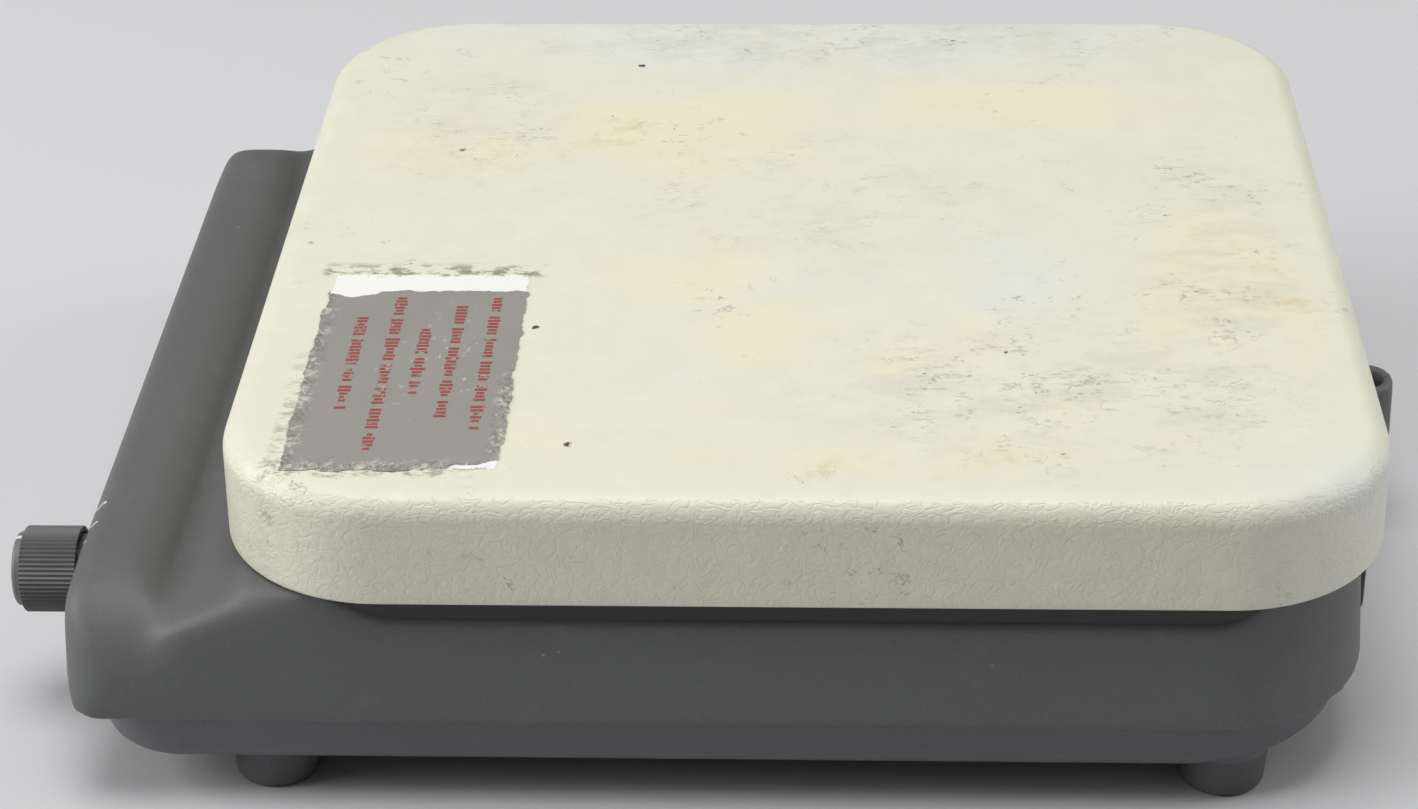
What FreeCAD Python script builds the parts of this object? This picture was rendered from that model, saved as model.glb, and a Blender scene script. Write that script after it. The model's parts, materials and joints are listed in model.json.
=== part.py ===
import FreeCAD, Part
import math
import os

# Magnetic stirrer with a square plate, in millimetres. +Z is up, the dial is on the -Y side, and the
# rod socket and the power inlet are on the +Y side. Every piece is laid out about the middle of the
# top plate, and is then moved along Y, so that the origin is under the middle of the whole stirrer.

# --- driving dimensions: the top plate ---
PLATE_SIDE = 184.0          # a 7 1/4 inch plate
PLATE_CORNER = 26.6
PLATE_RIM_Z = 40.5
PLATE_TOP_Z = 59.5
PLATE_EDGE = 4.0            # rounding round the top
PLATE_WALL = 3.0
PLATE_DRAFT = 0.2           # how much smaller the top is, each side

# --- the housing ---
RIM_Z = 16.7                # lower rim of the upper housing
DECK_Z = 40.5               # top of the deck under the plate
WALL = 2.5
RIM_HALF = 90.2             # half the width at the rim
DECK_HALF = 88.8            # half the width at the deck
RIM_REAR = 90.5
DECK_REAR = 88.9
FRONT = 117.7               # the front face at its fullest
FRONT_RIM = 116.3
FRONT_CORNER = 6.0          # plan radius at the rim
FRONT_CORNER_HIGH = 16.0    # plan radius at the deck
REAR_CORNER = 26.2
RIDGE_Z = 37.2              # crest of the ridge along the front
RIDGE_INNER = 104.0
END_ROUND = 17.5            # rounding at both ends of the ridge
VALLEY_Z = 32.8             # bottom of the channel between ridge and deck
VALLEY_Y = 100.6
SLOPE_TOP = 88.9            # top of the channel's long slope
SLOPE_TOP_Z = 38.0
DECK_FRONT = 87.9
DECK_CORNER = 22.0          # plan radius of the deck's front corners

# --- the lower tray and the feet ---
TRAY_INSET = 1.9
TRAY_FRONT_CORNER = 15.0
TRAY_REAR_CORNER = 29.0
TRAY_Z = 7.2                # underside of the tray
TRAY_WALL = 2.5
SEAM = 0.25
FOOT_X = 78.0
FOOT_FRONT = -85.6
FOOT_REAR = 67.8
FOOT_R = 7.2

# --- the speed dial ---
DIAL_X = 61.0
DIAL_Z = 26.8
KNOB_R = 7.1
DIAL_SEAT = 116.6           # flat seat of the washer on the front face
KNOB_BASE = 118.4
KNOB_END = 127.7
KNOB_RECESS = 121.0         # depth of the hollow over the nut
CAP_R = 6.1
CAP_END = 129.1
FLUTES = 58
FLUTE_DEPTH = 0.28
SHAFT_R = 3.0
SHAFT_PLAY = 0.05
CAN_FRONT = 114.2           # the potentiometer's can, behind the front wall
CAN_REAR = 107.3
CAN_R = 5.8

# --- the rod socket on the rear wall ---
LUG_Y = 98.9
LUG_R = 5.3
LUG_BASE_R = 5.6
LUG_TOP = 30.2
ROD_HOLE_R = 3.25           # for a 1/4 inch support rod
ROD_MOUTH_R = 4.05
ROD_HOLE_FLOOR = 19.3
CLAMP_Z = 24.2
CLAMP_R = 1.97              # M4 set screw

# --- the power inlet, a two-pin appliance inlet ---
INLET_X = 49.0
INLET_Z = 27.4
INLET_FACE = 91.3
INLET_WIDE = 24.0
INLET_SEAT = 88.9           # flat seat of the inlet's flange on the rear wall
PIN_PITCH = 8.6
PIN_R = 1.18

# --- the motor, which hangs under the deck ---
STACK_LOW = 15.0
STACK_HIGH = 31.0
BORE_R = 12.8
ROTOR_R = 12.4
MOTOR_SHAFT_R = 2.0
BEARING_PLAY = 0.03
GROMMET_X = 41.0
GROMMET_Y = 13.0
BOLT_X = 22.0

# --- the magnet arm on the motor shaft ---
MAGNET_X = 22.0
MAGNET_R = 7.0
ARM_Z = 44.0
MAGNET_TOP = 53.0

# --- fixings of the plate ---
PLATE_POST = 66.0
SPACER_T = 2.0

# --- the control board ---
BOARD = (8.0, 68.0, -84.0, -48.0)
BOARD_Z = 16.5
BOARD_T = 1.6

# --- insulated leads ---
LEAD_R = 1.1

# --- the foil label on the plate and the rating plate under the tray ---
LABEL = (17.4, 83.2, -80.6, -46.4)
LABEL_T = 0.15

# The origin lies halfway between the end of the dial knob and the back of the rod socket.
MIDDLE_Y = (CAP_END - (LUG_Y + LUG_BASE_R)) / 2

BIG = 300.0
TRAY_FLOOR = TRAY_Z + TRAY_WALL
ROOF_Z = DECK_Z - WALL


def vec(x, y, z):
    return FreeCAD.Vector(x, y, z)


def box(x0, x1, y0, y1, z0, z1):
    return Part.makeBox(x1 - x0, y1 - y0, z1 - z0, vec(x0, y0, z0))


def post(x, y, z0, z1, r):
    """A cylinder along Z."""
    return Part.makeCylinder(r, z1 - z0, vec(x, y, z0))


def bar_y(x, z, y0, y1, r):
    """A cylinder along Y."""
    return Part.makeCylinder(r, y1 - y0, vec(x, y0, z), vec(0, 1, 0))


def bar_x(y, z, x0, x1, r):
    """A cylinder along X."""
    return Part.makeCylinder(r, x1 - x0, vec(x0, y, z), vec(1, 0, 0))


def hexagon_z(x, y, z0, z1, across):
    """A hexagonal prism along Z, by its width across flats."""
    r = across / math.sqrt(3.0)
    ring = [vec(x + r * math.cos(k * math.pi / 3), y + r * math.sin(k * math.pi / 3), z0) for k in range(7)]
    return Part.Face(Part.makePolygon(ring)).extrude(vec(0, 0, z1 - z0))


def rounded(points, place):
    """A closed wire through corner points (a, b, radius); place(a, b) gives the point in space."""
    count = len(points)
    corners = []
    for k in range(count):
        a, b, r = points[k]
        here = FreeCAD.Vector(a, b, 0)
        before = FreeCAD.Vector(points[k - 1][0], points[k - 1][1], 0) - here
        after = FreeCAD.Vector(points[(k + 1) % count][0], points[(k + 1) % count][1], 0) - here
        before.normalize()
        after.normalize()
        half = before.getAngle(after) / 2
        if r <= 0:
            corners.append((here, None, here))
            continue
        reach = r / math.tan(half)
        middle = before + after
        middle.normalize()
        tip = here + middle * (r / math.sin(half) - r)
        corners.append((here + before * reach, tip, here + after * reach))
    edges = []
    for k in range(count):
        start, tip, end = corners[k]
        if tip is not None:
            ends = [place(p.x, p.y) for p in (start, tip, end)]
            edges.append(Part.Arc(*ends).toShape())
        target = corners[(k + 1) % count][0]
        if (target - end).Length > 1e-6:
            edges.append(Part.LineSegment(place(end.x, end.y), place(target.x, target.y)).toShape())
    return Part.Wire(edges)


def plan(half, front, rear, front_r, rear_r, z):
    """A plan outline at height z, symmetrical left and right."""
    points = [(-half, -front, front_r), (half, -front, front_r), (half, rear, rear_r), (-half, rear, rear_r)]
    return rounded(points, lambda a, b: vec(a, b, z))


def loft(low, high):
    return Part.makeLoft([low, high], True, True)


def section_x(points, x0, x1):
    """A solid with a constant outline in Y and Z, from x0 to x1."""
    wire = rounded(points, lambda a, b: vec(x0, a, b))
    return Part.Face(wire).extrude(vec(x1 - x0, 0, 0))


def section_y(points, y0, y1):
    """A solid with a constant outline in X and Z, from y0 to y1."""
    wire = rounded(points, lambda a, b: vec(a, y0, b))
    return Part.Face(wire).extrude(vec(0, y1 - y0, 0))


def slab(x0, x1, y0, y1, z0, z1, r):
    """A flat plate with rounded corners."""
    points = [(x0, y0, r), (x1, y0, r), (x1, y1, r), (x0, y1, r)]
    return Part.Face(rounded(points, lambda a, b: vec(a, b, z0))).extrude(vec(0, 0, z1 - z0))


def panel_y(x, z, wide, high, r, y0, y1):
    """A plate with rounded corners that stands across Y."""
    points = [(x - wide / 2, z - high / 2, r), (x + wide / 2, z - high / 2, r)]
    points += [(x + wide / 2, z + high / 2, r), (x - wide / 2, z + high / 2, r)]
    return section_y(points, y0, y1)


def fuse(shapes):
    return shapes[0].fuse(shapes[1:]).removeSplitter()


def group(shapes):
    return Part.makeCompound(shapes)


def corners(x, y):
    return [(sx * x, sy * y) for sx in (-1, 1) for sy in (-1, 1)]


def foot_places():
    return {
        "foot_front_left": (-FOOT_X, FOOT_FRONT),
        "foot_front_right": (FOOT_X, FOOT_FRONT),
        "foot_rear_left": (-FOOT_X, FOOT_REAR),
        "foot_rear_right": (FOOT_X, FOOT_REAR),
    }


def top_edges(solid, z):
    return [e for e in solid.Edges if min(v.Z for v in e.Vertexes) > z - 0.01]


# ---------------------------------------------------------------- plate

def top_plate():
    half = PLATE_SIDE / 2
    small = half - PLATE_DRAFT
    low = plan(half, half, half, PLATE_CORNER, PLATE_CORNER, PLATE_RIM_Z)
    high = plan(small, small, small, PLATE_CORNER - PLATE_DRAFT, PLATE_CORNER - PLATE_DRAFT, PLATE_TOP_Z)
    solid = loft(low, high)
    solid = solid.makeFillet(PLATE_EDGE, top_edges(solid, PLATE_TOP_Z))
    inner = half - PLATE_WALL
    radius = PLATE_CORNER - PLATE_WALL
    ceiling = PLATE_TOP_Z - PLATE_WALL
    low = plan(inner, inner, inner, radius, radius, PLATE_RIM_Z - 1)
    high = plan(inner - 0.3, inner - 0.3, inner - 0.3, radius - 0.3, radius - 0.3, ceiling)
    hollow = loft(low, high)
    hollow = hollow.makeFillet(2.0, top_edges(hollow, ceiling))
    solid = solid.cut(hollow)
    solid = solid.makeFillet(0.5, [e for e in solid.Edges if outer_rim_edge(e)])
    bosses = [post(x, y, DECK_Z + SPACER_T, ceiling + 0.5, 5.0) for x, y in corners(PLATE_POST, PLATE_POST)]
    solid = fuse([solid] + bosses)
    threads = [post(x, y, DECK_Z, DECK_Z + 12, 1.7) for x, y in corners(PLATE_POST, PLATE_POST)]
    return solid.cut(threads + [plate_label()])


def outer_rim_edge(edge):
    """The plate's lower outside edge."""
    middle = edge.valueAt((edge.FirstParameter + edge.LastParameter) / 2)
    flat = max(abs(v.Z - PLATE_RIM_Z) for v in edge.Vertexes) < 0.01
    reach = PLATE_SIDE / 2 - PLATE_WALL + 0.5
    corner_reach = (PLATE_SIDE / 2 - PLATE_CORNER) * math.sqrt(2) + PLATE_CORNER - 0.5
    outside = max(abs(middle.x), abs(middle.y)) > reach or math.hypot(middle.x, middle.y) > corner_reach
    return flat and outside


def plate_spacers():
    rings = []
    for x, y in corners(PLATE_POST, PLATE_POST):
        ring = post(x, y, DECK_Z, DECK_Z + SPACER_T, 6.0)
        rings.append(ring.cut(post(x, y, DECK_Z - 1, DECK_Z + SPACER_T + 1, 2.2)))
    return group(rings)


def plate_screws():
    screws = []
    for x, y in corners(PLATE_POST, PLATE_POST):
        head = post(x, y, ROOF_Z - 2.6, ROOF_Z, 3.6)
        shank = post(x, y, ROOF_Z - 0.2, DECK_Z + 10, 1.65)
        slot = box(x - 0.5, x + 0.5, y - 4, y + 4, ROOF_Z - 2.8, ROOF_Z - 1.6)
        screws.append(fuse([head, shank]).cut(slot))
    return group(screws)


def apron_points(gap):
    """Outline, in Y and Z, of the long shallow dip at the top of each side wall."""
    low = DECK_Z - 4.8 + gap
    top = DECK_Z + 4.5
    return [(-83 + gap, top, 0), (-66 + gap, low, 12), (66 - gap, low, 12), (83 - gap, top, 0)]


def plate_gasket():
    """Grey seal on the deck, with an apron that hangs in the dip of each side wall."""
    outer = plan(88.3, 87.3, 88.3, 26.0, 26.0, DECK_Z)
    inner = plan(84.0, 83.0, 84.0, 21.7, 21.7, DECK_Z)
    ring = Part.Face(outer).extrude(vec(0, 0, 1.2)).cut(Part.Face(inner).extrude(vec(0, 0, 1.2)))
    aprons = []
    for side in (-1, 1):
        strip = section_x(apron_points(0.15), side * 87.35, side * 88.45)
        limit = Part.Face(plan(89.0, 89.0, 89.0, 24.6, 24.6, DECK_Z - 8)).extrude(vec(0, 0, 9.2))
        aprons.append(strip.common(limit))
    return fuse([ring] + aprons)


# ---------------------------------------------------------------- housing

def front_profile(inset, floor):
    """Outline, in Y and Z, of the housing, or of its hollow at an inset."""
    points = [
        (BIG / 2, floor, 0),
        (-FRONT_RIM, floor, 0),
        (-FRONT, 26.5, 40),
        (-FRONT + 0.2, RIDGE_Z, 6.0),
        (-RIDGE_INNER, RIDGE_Z, 7.6),
        (-VALLEY_Y, VALLEY_Z, 1.4),
        (-SLOPE_TOP, SLOPE_TOP_Z, 0),
        (-DECK_FRONT, DECK_Z, 0),
        (BIG / 2, DECK_Z, 0),
    ]
    wire = rounded(points, lambda a, b: vec(-BIG / 2, a, b))
    if inset > 0:
        wire = wire.makeOffset2D(-inset)
    return Part.Face(wire).extrude(vec(BIG, 0, 0))


def housing_form(inset, floor):
    """The housing's outer form, or its hollow at an inset, down to the height floor."""
    front = FRONT + 0.15 - inset
    corner = REAR_CORNER - inset
    low = plan(RIM_HALF - inset, front, RIM_REAR - inset, FRONT_CORNER - inset, corner, RIM_Z)
    high = plan(DECK_HALF - inset, front, DECK_REAR - inset, FRONT_CORNER_HIGH - inset, corner - 1, DECK_Z)
    block = loft(low, high)
    if floor < RIM_Z:
        skirt = Part.Face(low).extrude(vec(0, 0, floor - RIM_Z - 3))
        block = block.fuse(skirt)
    form = block.common(front_profile(inset, floor - inset))
    return form.common(end_form(inset)).cut(corner_waste(inset))


def end_section(half, top, r, y):
    """An outline across X and Z at y, rounded at its upper corners."""
    points = [(-half, 5, 0), (half, 5, 0), (half, top, r), (-half, top, r)]
    return rounded(points, lambda a, b: vec(a, y, b))


def end_form(inset):
    """The space inside the rounded ends of the ridge and channel, which fade out towards the deck."""
    half = RIM_HALF + 0.2 - inset
    top = RIDGE_Z + 0.02 - inset
    front = end_section(half, top, END_ROUND - inset, -BIG / 2)
    middle = end_section(half, top, END_ROUND - inset, -VALLEY_Y - 1.6)
    rear = end_section(half + 2, top + 10, 1.5, -90.5)
    rest = box(-half - 2, half + 2, -90.5, BIG / 2, 5, top + 10)
    return loft(front, middle).fuse([loft(middle, rear), rest])


def corner_waste(inset):
    """What is cut from the deck's front corners, so that they follow the plate's and flare out below."""
    half = RIM_HALF - inset
    low = plan(half - 0.5, VALLEY_Y + 7.4 - inset, 60, 8.0 - inset, 8.0, VALLEY_Z - 1.8)
    high = plan(half - 1.1, DECK_FRONT + 5.8 - inset, 60, DECK_CORNER - inset, 8.0, DECK_Z + 0.3)
    block = box(-BIG, BIG, -VALLEY_Y, -60, VALLEY_Z - 1.5, DECK_Z + 0.2)
    return block.cut(loft(low, high))


def rod_lug():
    column = Part.makeCone(LUG_BASE_R, LUG_R, LUG_TOP - RIM_Z - 0.4, vec(0, LUG_Y, RIM_Z + 0.4))
    column = column.makeFillet(0.5, top_edges(column, LUG_TOP))
    web = box(-LUG_R + 0.3, LUG_R - 0.3, 88.3, LUG_Y, RIM_Z + 0.4, LUG_TOP - 0.8)
    clamp_boss = bar_x(LUG_Y, CLAMP_Z, -8.6, -2.0, 3.8)
    return fuse([column, web, clamp_boss])


def rod_hole():
    bore = post(0, LUG_Y, ROD_HOLE_FLOOR, LUG_TOP + 1, ROD_HOLE_R)
    lead_in = Part.makeCone(ROD_HOLE_R, ROD_MOUTH_R, 1.0, vec(0, LUG_Y, LUG_TOP - 1.0))
    drain = post(0, LUG_Y, RIM_Z - 1, ROD_HOLE_FLOOR + 1, 1.8)
    thread = bar_x(LUG_Y, CLAMP_Z, -9.0, 0.0, CLAMP_R + 0.03)
    return fuse([bore, lead_in, drain, thread])


def upper_housing():
    shell = housing_form(0, RIM_Z).cut(housing_form(WALL, RIM_Z - 4))
    added = [rod_lug()]
    for x, y in foot_places().values():
        added.append(post(x, y, TRAY_FLOOR + 0.2, ROOF_Z + 0.5, 4.6))
    for x, y in corners(GROMMET_X, GROMMET_Y):
        added.append(post(x, y, 34.8, ROOF_Z + 0.5, 4.4))
    limit = housing_form(1.2, RIM_Z - 4)
    posts = [item.common(limit) for item in added[1:]]
    shell = fuse([shell, added[0]] + posts)
    removed = [rod_hole(), post(0, 0, ROOF_Z - 1, DECK_Z + 1, 16.0)]
    for x, y in foot_places().values():
        removed.append(post(x, y, TRAY_FLOOR, 28.0, 1.95))
    for x, y in corners(GROMMET_X, GROMMET_Y):
        removed.append(post(x, y, 34.0, 39.0, 1.55))
    for x, y in corners(PLATE_POST, PLATE_POST):
        removed.append(post(x, y, ROOF_Z - 1, DECK_Z + 1, 2.0))
    for side in (-1, 1):
        removed.append(section_x(apron_points(0), side * 87.2, side * 100))
    removed.append(bar_y(DIAL_X, DIAL_Z, -125, -110, 3.6))
    removed.append(bar_y(DIAL_X, DIAL_Z, -125, -DIAL_SEAT, 6.4))
    removed.append(panel_y(INLET_X, INLET_Z, 21.4, 13.0, 3.0, 80, 100))
    removed.append(panel_y(INLET_X, INLET_Z, INLET_WIDE + 0.4, 16.0, 3.0, INLET_SEAT, 100))
    return shell.cut(removed).removeSplitter()


def tray_outline(inset, z):
    half = RIM_HALF - TRAY_INSET - inset
    front = FRONT_RIM - TRAY_INSET - inset
    rear = RIM_REAR - TRAY_INSET - inset
    return plan(half, front, rear, TRAY_FRONT_CORNER - inset, TRAY_REAR_CORNER - inset, z)


def base_tray():
    top = RIM_Z - SEAM
    solid = loft(tray_outline(1.0, TRAY_Z), tray_outline(0, top))
    lower = [e for e in solid.Edges if max(v.Z for v in e.Vertexes) < TRAY_Z + 0.01]
    solid = solid.makeFillet(3.4, lower)
    solid = solid.cut(loft(tray_outline(1.0 + TRAY_WALL, TRAY_FLOOR), tray_outline(TRAY_WALL, top + 1)))
    lip_out = Part.Face(tray_outline(1.2, top - 3)).extrude(vec(0, 0, 5.2))
    lip_in = Part.Face(tray_outline(TRAY_WALL, top - 4)).extrude(vec(0, 0, 8))
    added = [lip_out.cut(lip_in)]
    for x, y in board_holes():
        added.append(post(x, y, TRAY_FLOOR - 0.5, BOARD_Z, 3.2))
    for x, y in foot_places().values():
        added.append(post(x, y, TRAY_Z, TRAY_FLOOR, FOOT_R + 0.2))
    solid = fuse([solid] + added)
    removed = []
    for x, y in foot_places().values():
        removed.append(post(x, y, TRAY_Z - 1, TRAY_FLOOR + 1, 2.2))
    for x, y in board_holes():
        removed.append(post(x, y, TRAY_FLOOR, BOARD_Z + 1, 1.3))
    for side in (-1, 1):
        for k in range(6):
            x = side * 30 + (k - 2.5) * 6
            removed.append(slab(x - 1.25, x + 1.25, 46, 74, TRAY_Z - 1, TRAY_FLOOR + 1, 1.2))
    return solid.cut(removed)


def foot(x, y):
    solid = Part.makeCone(FOOT_R - 0.4, FOOT_R, TRAY_Z, vec(x, y, 0))
    solid = solid.makeFillet(1.2, [e for e in solid.Edges if e.BoundBox.ZMax < 0.01])
    solid = solid.cut(post(x, y, -1, 4.0, 4.2))
    return solid.cut(post(x, y, 3.0, TRAY_Z + 1, 2.1))


def foot_screws():
    screws = []
    for x, y in foot_places().values():
        head = post(x, y, 1.4, 4.0, 3.9)
        shank = post(x, y, 3.8, 26.0, 1.9)
        across = box(x - 2.6, x + 2.6, y - 0.5, y + 0.5, 1.2, 2.9)
        along = box(x - 0.5, x + 0.5, y - 2.6, y + 2.6, 1.2, 2.9)
        screws.append(fuse([head, shank]).cut([across, along]))
    return group(screws)


def rating_label():
    return slab(-30, 30, -60, -25, TRAY_Z - 0.15, TRAY_Z, 2.0)


def plate_label():
    x0, x1, y0, y1 = LABEL
    return slab(x0, x1, y0, y1, PLATE_TOP_Z - LABEL_T, PLATE_TOP_Z, 1.5)


def rod_clamp_screw():
    screw = bar_x(LUG_Y, CLAMP_Z, -8.4, -3.4, CLAMP_R)
    socket = hexagon_z(0, 0, 0, 2.2, 2.0)
    socket.rotate(vec(0, 0, 0), vec(0, 1, 0), 90)
    socket.translate(vec(-8.5, LUG_Y, CLAMP_Z))
    return screw.cut(socket)


# ---------------------------------------------------------------- dial

def flute_ring(y0, y1):
    """The fluted outside of the knob, as a prism along Y."""
    ring = []
    for k in range(2 * FLUTES + 1):
        angle = k * math.pi / FLUTES
        r = KNOB_R - FLUTE_DEPTH * (k % 2)
        ring.append(vec(DIAL_X + r * math.cos(angle), y0, DIAL_Z + r * math.sin(angle)))
    return Part.Face(Part.makePolygon(ring)).extrude(vec(0, y1 - y0, 0))


def knob():
    solid = flute_ring(-KNOB_END, -KNOB_BASE)
    soften = bar_y(DIAL_X, DIAL_Z, -KNOB_END, -KNOB_BASE, KNOB_R + 0.1)
    soften = soften.makeFillet(0.6, [e for e in soften.Edges if e.BoundBox.YMax < -KNOB_END + 0.01])
    solid = solid.common(soften)
    solid = solid.cut(bar_y(DIAL_X, DIAL_Z, -KNOB_RECESS, -110, 6.2))
    return solid.cut(bar_y(DIAL_X, DIAL_Z, -130, -110, 4.6))


def knob_cap():
    disc = bar_y(DIAL_X, DIAL_Z, -CAP_END, -KNOB_END, CAP_R)
    disc = disc.makeFillet(0.7, [e for e in disc.Edges if e.BoundBox.YMax < -CAP_END + 0.01])
    plug = bar_y(DIAL_X, DIAL_Z, -KNOB_END, -KNOB_END + 0.6, 4.5)
    return fuse([disc, plug])


def knob_collet():
    sleeve = bar_y(DIAL_X, DIAL_Z, -KNOB_END + 0.7, -KNOB_RECESS, 4.6)
    return sleeve.cut(bar_y(DIAL_X, DIAL_Z, -126.4, -110, SHAFT_R))


def control_shaft():
    return bar_y(DIAL_X, DIAL_Z, -126.4, -110.0, SHAFT_R)


def potentiometer():
    can = bar_y(DIAL_X, DIAL_Z, -CAN_FRONT, -CAN_REAR, CAN_R)
    can = can.makeFillet(0.5, [e for e in can.Edges if e.BoundBox.YMin > -CAN_REAR - 0.1])
    bushing = bar_y(DIAL_X, DIAL_Z, -120.3, -CAN_FRONT, 3.5)
    return fuse([can, bushing]).cut(bar_y(DIAL_X, DIAL_Z, -125, -109.6, SHAFT_R + SHAFT_PLAY))


def pot_terminals():
    tabs = []
    for k in (-1, 0, 1):
        x = DIAL_X + 3.2 * k
        tabs.append(box(x - 0.9, x + 0.9, -109.0, -108.4, 17.6, 22.3).cut(bar_y(x, 18.7, -110, -108, 0.45)))
    return group([t.cut(bar_y(DIAL_X, DIAL_Z, -CAN_FRONT, -CAN_REAR, CAN_R)) for t in tabs])


def pot_washer():
    ring = bar_y(DIAL_X, DIAL_Z, -DIAL_SEAT - 0.5, -DIAL_SEAT, 5.6)
    return ring.cut(bar_y(DIAL_X, DIAL_Z, -122, -115, 3.5))


def pot_nut():
    nut = hexagon_z(0, 0, 0, 2.0, 10.0)
    nut.rotate(vec(0, 0, 0), vec(1, 0, 0), 90)
    nut.translate(vec(DIAL_X, -DIAL_SEAT - 0.5, DIAL_Z))
    return nut.cut(bar_y(DIAL_X, DIAL_Z, -122, -115, 3.5))


# ---------------------------------------------------------------- inlet

def inlet_body():
    flange = panel_y(INLET_X, INLET_Z, INLET_WIDE, 15.6, 2.8, INLET_SEAT, INLET_FACE)
    flange = flange.makeFillet(0.7, [e for e in flange.Edges if e.BoundBox.YMin > INLET_FACE - 0.01])
    block = panel_y(INLET_X, INLET_Z, 21.0, 12.6, 2.8, 74.0, INLET_SEAT)
    cavity = panel_y(INLET_X, INLET_Z, 16.8, 8.6, 4.2, 80.0, INLET_FACE + 1)
    solid = fuse([flange, block]).cut(cavity)
    for side in (-1, 1):
        solid = solid.cut(bar_y(INLET_X + side * PIN_PITCH / 2, INLET_Z, 70, 82, PIN_R))
    return solid


def inlet_pins():
    pins = []
    for side in (-1, 1):
        x = INLET_X + side * PIN_PITCH / 2
        pin = bar_y(x, INLET_Z, 73.9, 90.4, PIN_R)
        pin = pin.makeFillet(0.7, [e for e in pin.Edges if e.BoundBox.YMin > 90.3])
        tab = box(x - 0.4, x + 0.4, 67.0, 74.0, INLET_Z - 2.2, INLET_Z + 2.2)
        pins.append(fuse([pin, tab]))
    return group(pins)


# ---------------------------------------------------------------- motor

def stator_core():
    core = slab(-32, 32, -22, 40, STACK_LOW, STACK_HIGH, 4.0)
    window = box(-20, 20, 20.5, 30, STACK_LOW - 1, STACK_HIGH + 1)
    bore = post(0, 0, STACK_LOW - 1, STACK_HIGH + 1, BORE_R)
    gaps = []
    for sx, sy in corners(1, 1):
        slot = box(-0.7, 0.7, BORE_R - 1, BORE_R + 3.4, STACK_LOW - 1, STACK_HIGH + 1)
        slot.rotate(vec(0, 0, 0), vec(0, 0, 1), -sx * (90 - sy * 42))
        gaps.append(slot)
    neck = box(-0.8, 0.8, 11, 21, STACK_LOW - 1, STACK_HIGH + 1)
    bolts = [post(sx * BOLT_X, 0, STACK_LOW - 1, STACK_HIGH + 1, 1.9) for sx in (-1, 1)]
    return core.cut([window, bore, neck] + gaps + bolts)


def shading_rings():
    """Two copper bars that shade part of each pole, one on each side."""
    rings = []
    for sx, sy in ((-1, 1), (1, -1)):
        bar = box(-0.6, 0.6, BORE_R + 0.5, BORE_R + 3.2, STACK_LOW - 0.6, STACK_HIGH + 0.2)
        bar.rotate(vec(0, 0, 0), vec(0, 0, 1), -sx * (90 - sy * 42))
        rings.append(bar.common(box(-BIG, BIG, -BIG, BIG, STACK_LOW, STACK_HIGH)))
    return group(rings)


def coil_bobbin():
    tube = box(-18, 18, 28.8, 41.2, STACK_LOW - 1.2, STACK_HIGH + 1.2)
    flanges = [slab(x - 0.6, x + 0.6, 21.0, 49.0, 12.0, 34.6, 0.5) for x in (-17.4, 17.4)]
    core = box(-30, 30, 29.8, 40.2, STACK_LOW - 0.2, STACK_HIGH + 0.2)
    return fuse([tube] + flanges).cut(core)


def stator_coil():
    wound = section_x([(22.0, 12.8, 3), (48.0, 12.8, 3), (48.0, 33.8, 3), (22.0, 33.8, 3)], -16.8, 16.8)
    return wound.cut(box(-30, 30, 28.8, 41.2, STACK_LOW - 1.2, STACK_HIGH + 1.2))


def motor_mount_plate():
    z0 = STACK_HIGH
    z1 = z0 + 1.6
    sheet = slab(-48, 48, -19, 19, z0, z1, 5.0)
    holes = [post(0, 0, z0 - 1, z1 + 1, 14.0)]
    holes += [post(x, y, z0 - 1, z1 + 1, 3.45) for x, y in corners(GROMMET_X, GROMMET_Y)]
    holes += [post(sx * BOLT_X, 0, z0 - 1, z1 + 1, 1.9) for sx in (-1, 1)]
    return sheet.cut(holes)


def motor_grommet(x, y):
    low = STACK_HIGH - 1.4
    body = fuse([post(x, y, low, STACK_HIGH, 5.0), post(x, y, STACK_HIGH, 32.6, 3.4), post(x, y, 32.6, 34.8, 5.0)])
    return body.cut(post(x, y, low - 1, 36, 1.8))


def motor_screws():
    screws = []
    for x, y in corners(GROMMET_X, GROMMET_Y):
        head = post(x, y, 27.4, 29.6, 3.4)
        shank = post(x, y, 29.4, 38.6, 1.5)
        screws.append(fuse([head, shank]).cut(box(x - 0.45, x + 0.45, y - 4, y + 4, 27, 28.5)))
    return group(screws)


def bearing_bracket(foot_z, bridge_z, boss_low, boss_high):
    """Bridge of sheet steel across the rotor, with a boss that holds a bearing."""
    t = 1.5
    low = min(foot_z, bridge_z)
    high = max(foot_z, bridge_z) + t
    parts = []
    for side in (-1, 1):
        x0, x1 = sorted((side * 17.0, side * 27.0))
        parts.append(slab(x0, x1, -8, 8, foot_z, foot_z + t, 1.0))
        x0, x1 = sorted((side * 15.5, side * 17.5))
        parts.append(box(x0, x1, -8, 8, low, high))
    parts.append(box(-16, 16, -8, 8, bridge_z, bridge_z + t))
    parts.append(post(0, 0, boss_low, boss_high, 6.5))
    holes = [post(0, 0, boss_low - 1, boss_high + 1, 4.0)]
    holes += [post(side * BOLT_X, 0, foot_z - 1, foot_z + t + 1, 1.9) for side in (-1, 1)]
    return fuse(parts).cut(holes)


def bearing(z0, z1):
    return post(0, 0, z0, z1, 4.0).cut(post(0, 0, z0 - 1, z1 + 1, MOTOR_SHAFT_R + BEARING_PLAY))


def stator_bolts():
    bolts = []
    for side in (-1, 1):
        x = side * BOLT_X
        head = post(x, 0, 34.1, 36.3, 3.0).cut(box(x - 4, x + 4, -0.4, 0.4, 35.3, 37))
        shank = post(x, 0, 11.2, 34.3, 1.75)
        nut = hexagon_z(x, 0, 11.2, 13.5, 5.5)
        bolts.append(fuse([head, shank, nut]))
    return group(bolts)


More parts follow.
